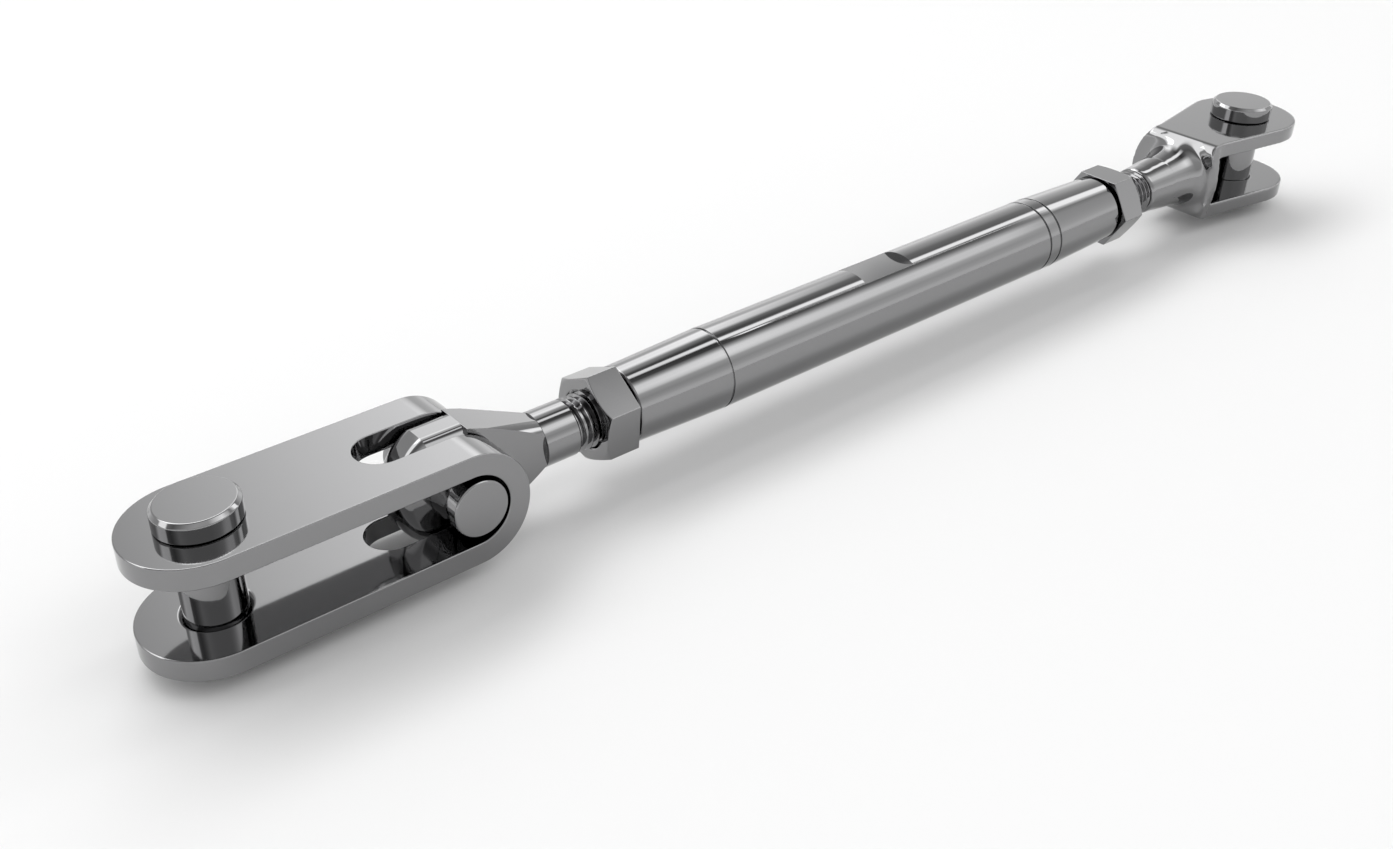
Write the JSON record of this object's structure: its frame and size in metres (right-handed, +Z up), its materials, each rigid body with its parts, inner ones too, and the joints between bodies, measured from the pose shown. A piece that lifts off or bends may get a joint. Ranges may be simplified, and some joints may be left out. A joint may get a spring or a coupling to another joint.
{
  "type": "rigging screw",
  "caption": "Polished steel rigging screw with a closed tubular body, opposite-hand threaded studs, lock nuts, a pinned U-shaped toggle at one end and a forged fork at the other.",
  "frame": {"origin": "middle of the toggle's jaw, on the axis of its clevis pin and of the screw", "axes": "+X along the screw axis from the toggle to the fork, +Z up along the toggle's clevis pin towards its head"},
  "size_m": [0.5675, 0.0482, 0.0531],
  "materials": {
    "polished_steel": "mirror-polished stainless steel",
    "pin_wire": "bright drawn wire"
  },
  "bodies": {
    "eye": {"eye_stud": "polished_steel"},
    "strap": {"toggle_strap": "polished_steel"},
    "toggle_clevis": {"toggle_pin": "polished_steel", "toggle_split_pin": "pin_wire"},
    "cross": {"cross_pin": "polished_steel"},
    "near_nut": {"near_lock_nut": "polished_steel"},
    "tube": {"screw_body": "polished_steel"},
    "far_nut": {"far_lock_nut": "polished_steel"},
    "fork": {"fork_stud": "polished_steel"},
    "fork_clevis": {"fork_pin": "polished_steel", "fork_split_pin": "pin_wire"}
  },
  "joints": [
    {"name": "toggle_swing", "type": "hinge", "parent": "eye", "child": "strap", "pos_m": [0.0807, 0, 0], "axis": [0, 1, 0], "range_deg": [-90, 90]},
    {"name": "cross_pin_spin", "type": "hinge", "parent": "eye", "child": "cross", "pos_m": [0.0807, 0, 0], "axis": [0, 1, 0], "continuous": true},
    {"name": "toggle_pin_spin", "type": "hinge", "parent": "strap", "child": "toggle_clevis", "pos_m": [0, 0, 0], "axis": [0, 0, 1], "continuous": true},
    {"name": "near_nut_travel", "type": "slide", "parent": "eye", "child": "near_nut", "axis": [1, 0, 0], "range_m": [-0.0075, 0.06]},
    {"name": "body_turn", "type": "hinge", "parent": "near_nut", "child": "tube", "pos_m": [0.2824, 0, 0], "axis": [1, 0, 0], "range_deg": [-1080, 8640]},
    {"name": "far_nut_turn", "type": "hinge", "parent": "tube", "child": "far_nut", "pos_m": [0.2824, 0, 0], "axis": [1, 0, 0], "range_deg": [-8640, 1080]},
    {"name": "fork_travel", "type": "slide", "parent": "far_nut", "child": "fork", "axis": [1, 0, 0], "range_m": [-0.0075, 0.06]},
    {"name": "fork_pin_spin", "type": "hinge", "parent": "fork", "child": "fork_clevis", "pos_m": [0.5209, 0, 0], "axis": [0, -0.0698, 0.9976], "continuous": true}
  ],
  "couplings": [
    {"joint": "near_nut_travel", "follows": "body_turn", "m_per_rad": 0.00039789},
    {"joint": "far_nut_turn", "follows": "body_turn", "ratio": -1},
    {"joint": "fork_travel", "follows": "body_turn", "m_per_rad": 0.00039789}
  ]
}
